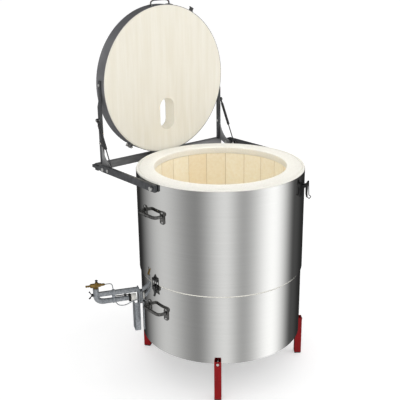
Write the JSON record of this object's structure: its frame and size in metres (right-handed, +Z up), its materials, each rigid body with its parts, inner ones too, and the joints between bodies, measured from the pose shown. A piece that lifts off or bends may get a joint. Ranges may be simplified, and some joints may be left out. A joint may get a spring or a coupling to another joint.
{
  "type": "raku kiln",
  "caption": "Round top-loading gas raku kiln: steel-cased brick chamber on legs, hinged lid with flue slot held up by gas springs, bow handles, toggles and side burner.",
  "frame": {"origin": "on the floor, on the axis of the round body", "axes": "+Z up, +Y towards the lid's hinge, +X towards the side without the burner; the lid is open at rest"},
  "size_m": [0.7922, 0.6745, 1.3635],
  "materials": {
    "stainless_casing": "brushed stainless sheet",
    "base_steel": "plain steel sheet",
    "insulating_brick": "soft insulating brick",
    "ceramic_fibre": "stiff pressed fibre",
    "red_paint": "gloss paint",
    "black_plastic": "matte",
    "dark_steel": "satin dark grey",
    "lid_sheet": "plain sheet",
    "bright_fasteners": "bright zinc",
    "handle_steel": "polished dark",
    "black_latches": "satin black",
    "spring_black": "gloss black",
    "spring_rod": "polished",
    "galvanised": "galvanised",
    "cup_ring": "dark",
    "white_ceramic": "matte",
    "brass": "worn brass"
  },
  "bodies": {
    "kiln": {"base_plate": "base_steel", "floor_slab": "insulating_brick", "lower_casing": "stainless_casing", "lower_blanket": "ceramic_fibre", "lower_wall_bricks": "insulating_brick", "port_brick_a": "insulating_brick", "port_brick_b": "insulating_brick", "seam_gasket": "ceramic_fibre", "upper_casing": "stainless_casing", "upper_blanket": "ceramic_fibre", "upper_wall_bricks": "insulating_brick", "rim_collar": "ceramic_fibre", "leg_front_left": "red_paint", "leg_front_right": "red_paint", "leg_back_left": "red_paint", "leg_back_right": "red_paint", "leg_caps": "black_plastic", "casing_fasteners": "bright_fasteners", "upper_handle_left": "handle_steel", "upper_handle_right": "handle_steel", "lower_handle_left": "handle_steel", "lower_handle_right": "handle_steel", "toggle_base_left": "black_latches", "toggle_base_right": "black_latches", "toggle_keeper_left": "black_latches", "toggle_keeper_right": "black_latches", "latch_base": "black_latches", "cross_bar": "dark_steel", "side_bar_left": "dark_steel", "side_bar_right": "dark_steel", "hinge_pins": "bright_fasteners", "spring_studs": "bright_fasteners", "burner_port_tube": "galvanised", "burner_plate": "galvanised", "burner_stay_tube": "galvanised", "burner_mixing_pipe": "galvanised", "burner_cup_ring": "cup_ring", "burner_flame_cup": "white_ceramic", "burner_tube_clamp": "galvanised", "gas_safety_valve": "brass", "flame_probe_tube": "brass"},
    "lid": {"lid_insulation": "ceramic_fibre", "lid_top_sheet": "lid_sheet", "lid_band": "dark_steel", "band_clamp_screw": "bright_fasteners", "lid_handle": "handle_steel", "lid_catch": "black_latches", "lid_arm_left": "dark_steel", "lid_arm_right": "dark_steel", "lid_fasteners": "bright_fasteners"},
    "spring_rod_left": {"gas_spring_rod_left": "spring_rod"},
    "spring_cylinder_left": {"gas_spring_cylinder_left": "spring_black"},
    "spring_rod_right": {"gas_spring_rod_right": "spring_rod"},
    "spring_cylinder_right": {"gas_spring_cylinder_right": "spring_black"},
    "toggle_lever_left": {"toggle_lever_left": "black_latches"},
    "toggle_bail_left": {"toggle_bail_left": "black_latches"},
    "toggle_lever_right": {"toggle_lever_right": "black_latches"},
    "toggle_bail_right": {"toggle_bail_right": "black_latches"},
    "latch_lever": {"latch_lever": "black_latches"},
    "latch_bail": {"latch_bail": "black_latches"},
    "air_wheel": {"air_wheel": "black_plastic"},
    "safety_button": {"safety_button": "black_plastic"}
  },
  "joints": [
    {"name": "lid_hinge", "type": "hinge", "parent": "kiln", "child": "lid", "pos_m": [0, 0.29, 0.763], "axis": [1, 0, 0], "range_deg": [0, 90]},
    {"name": "spring_swing_left", "type": "hinge", "parent": "kiln", "child": "spring_rod_left", "pos_m": [-0.3315, 0.257, 0.765], "axis": [1, 0, 0], "range_deg": [0, 97.04]},
    {"name": "spring_stroke_left", "type": "slide", "parent": "spring_rod_left", "child": "spring_cylinder_left", "axis": [0, 0.4358, 0.9], "range_m": [-0.04216, 0]},
    {"name": "spring_swing_right", "type": "hinge", "parent": "kiln", "child": "spring_rod_right", "pos_m": [0.3315, 0.257, 0.765], "axis": [1, 0, 0], "range_deg": [0, 97.04]},
    {"name": "spring_stroke_right", "type": "slide", "parent": "spring_rod_right", "child": "spring_cylinder_right", "axis": [0, 0.4358, 0.9], "range_m": [-0.04216, 0]},
    {"name": "toggle_lift_left", "type": "hinge", "parent": "kiln", "child": "toggle_lever_left", "pos_m": [-0.311, 0, 0.392], "axis": [0, 1, 0], "range_deg": [0, 150]},
    {"name": "bail_swing_left", "type": "hinge", "parent": "toggle_lever_left", "child": "toggle_bail_left", "pos_m": [-0.3095, 0, 0.378], "axis": [0, 1, 0], "range_deg": [-150, 0]},
    {"name": "toggle_lift_right", "type": "hinge", "parent": "kiln", "child": "toggle_lever_right", "pos_m": [0.311, 0, 0.392], "axis": [0, -1, 0], "range_deg": [0, 150]},
    {"name": "bail_swing_right", "type": "hinge", "parent": "toggle_lever_right", "child": "toggle_bail_right", "pos_m": [0.3095, 0, 0.378], "axis": [0, -1, 0], "range_deg": [-150, 0]},
    {"name": "latch_lift", "type": "hinge", "parent": "kiln", "child": "latch_lever", "pos_m": [0.15211, -0.28608, 0.742], "axis": [-0.8829, -0.4695, 0], "range_deg": [0, 90]},
    {"name": "latch_bail_swing", "type": "hinge", "parent": "latch_lever", "child": "latch_bail", "pos_m": [0.15352, -0.28872, 0.754], "axis": [0.8829, 0.4695, 0], "range_deg": [-150, 0]},
    {"name": "wheel_turn", "type": "hinge", "parent": "kiln", "child": "air_wheel", "pos_m": [-0.41768, 0.29217, 0.281], "axis": [0.9191, -0.3939, 0], "continuous": true},
    {"name": "button_press", "type": "slide", "parent": "kiln", "child": "safety_button", "axis": [0, 0, -1], "range_m": [0, 0.004], "stiffness_N_per_m": 400, "springref_m": -0.002}
  ],
  "couplings": [
    {"joint": "spring_swing_left", "follows": "lid_hinge", "ratio": 1.0776},
    {"joint": "spring_stroke_left", "follows": "lid_hinge", "m_per_rad": -0.026774},
    {"joint": "spring_swing_right", "follows": "lid_hinge", "ratio": 1.0776},
    {"joint": "spring_stroke_right", "follows": "lid_hinge", "m_per_rad": -0.026774},
    {"joint": "bail_swing_left", "follows": "toggle_lift_left", "ratio": -1},
    {"joint": "bail_swing_right", "follows": "toggle_lift_right", "ratio": -1}
  ]
}
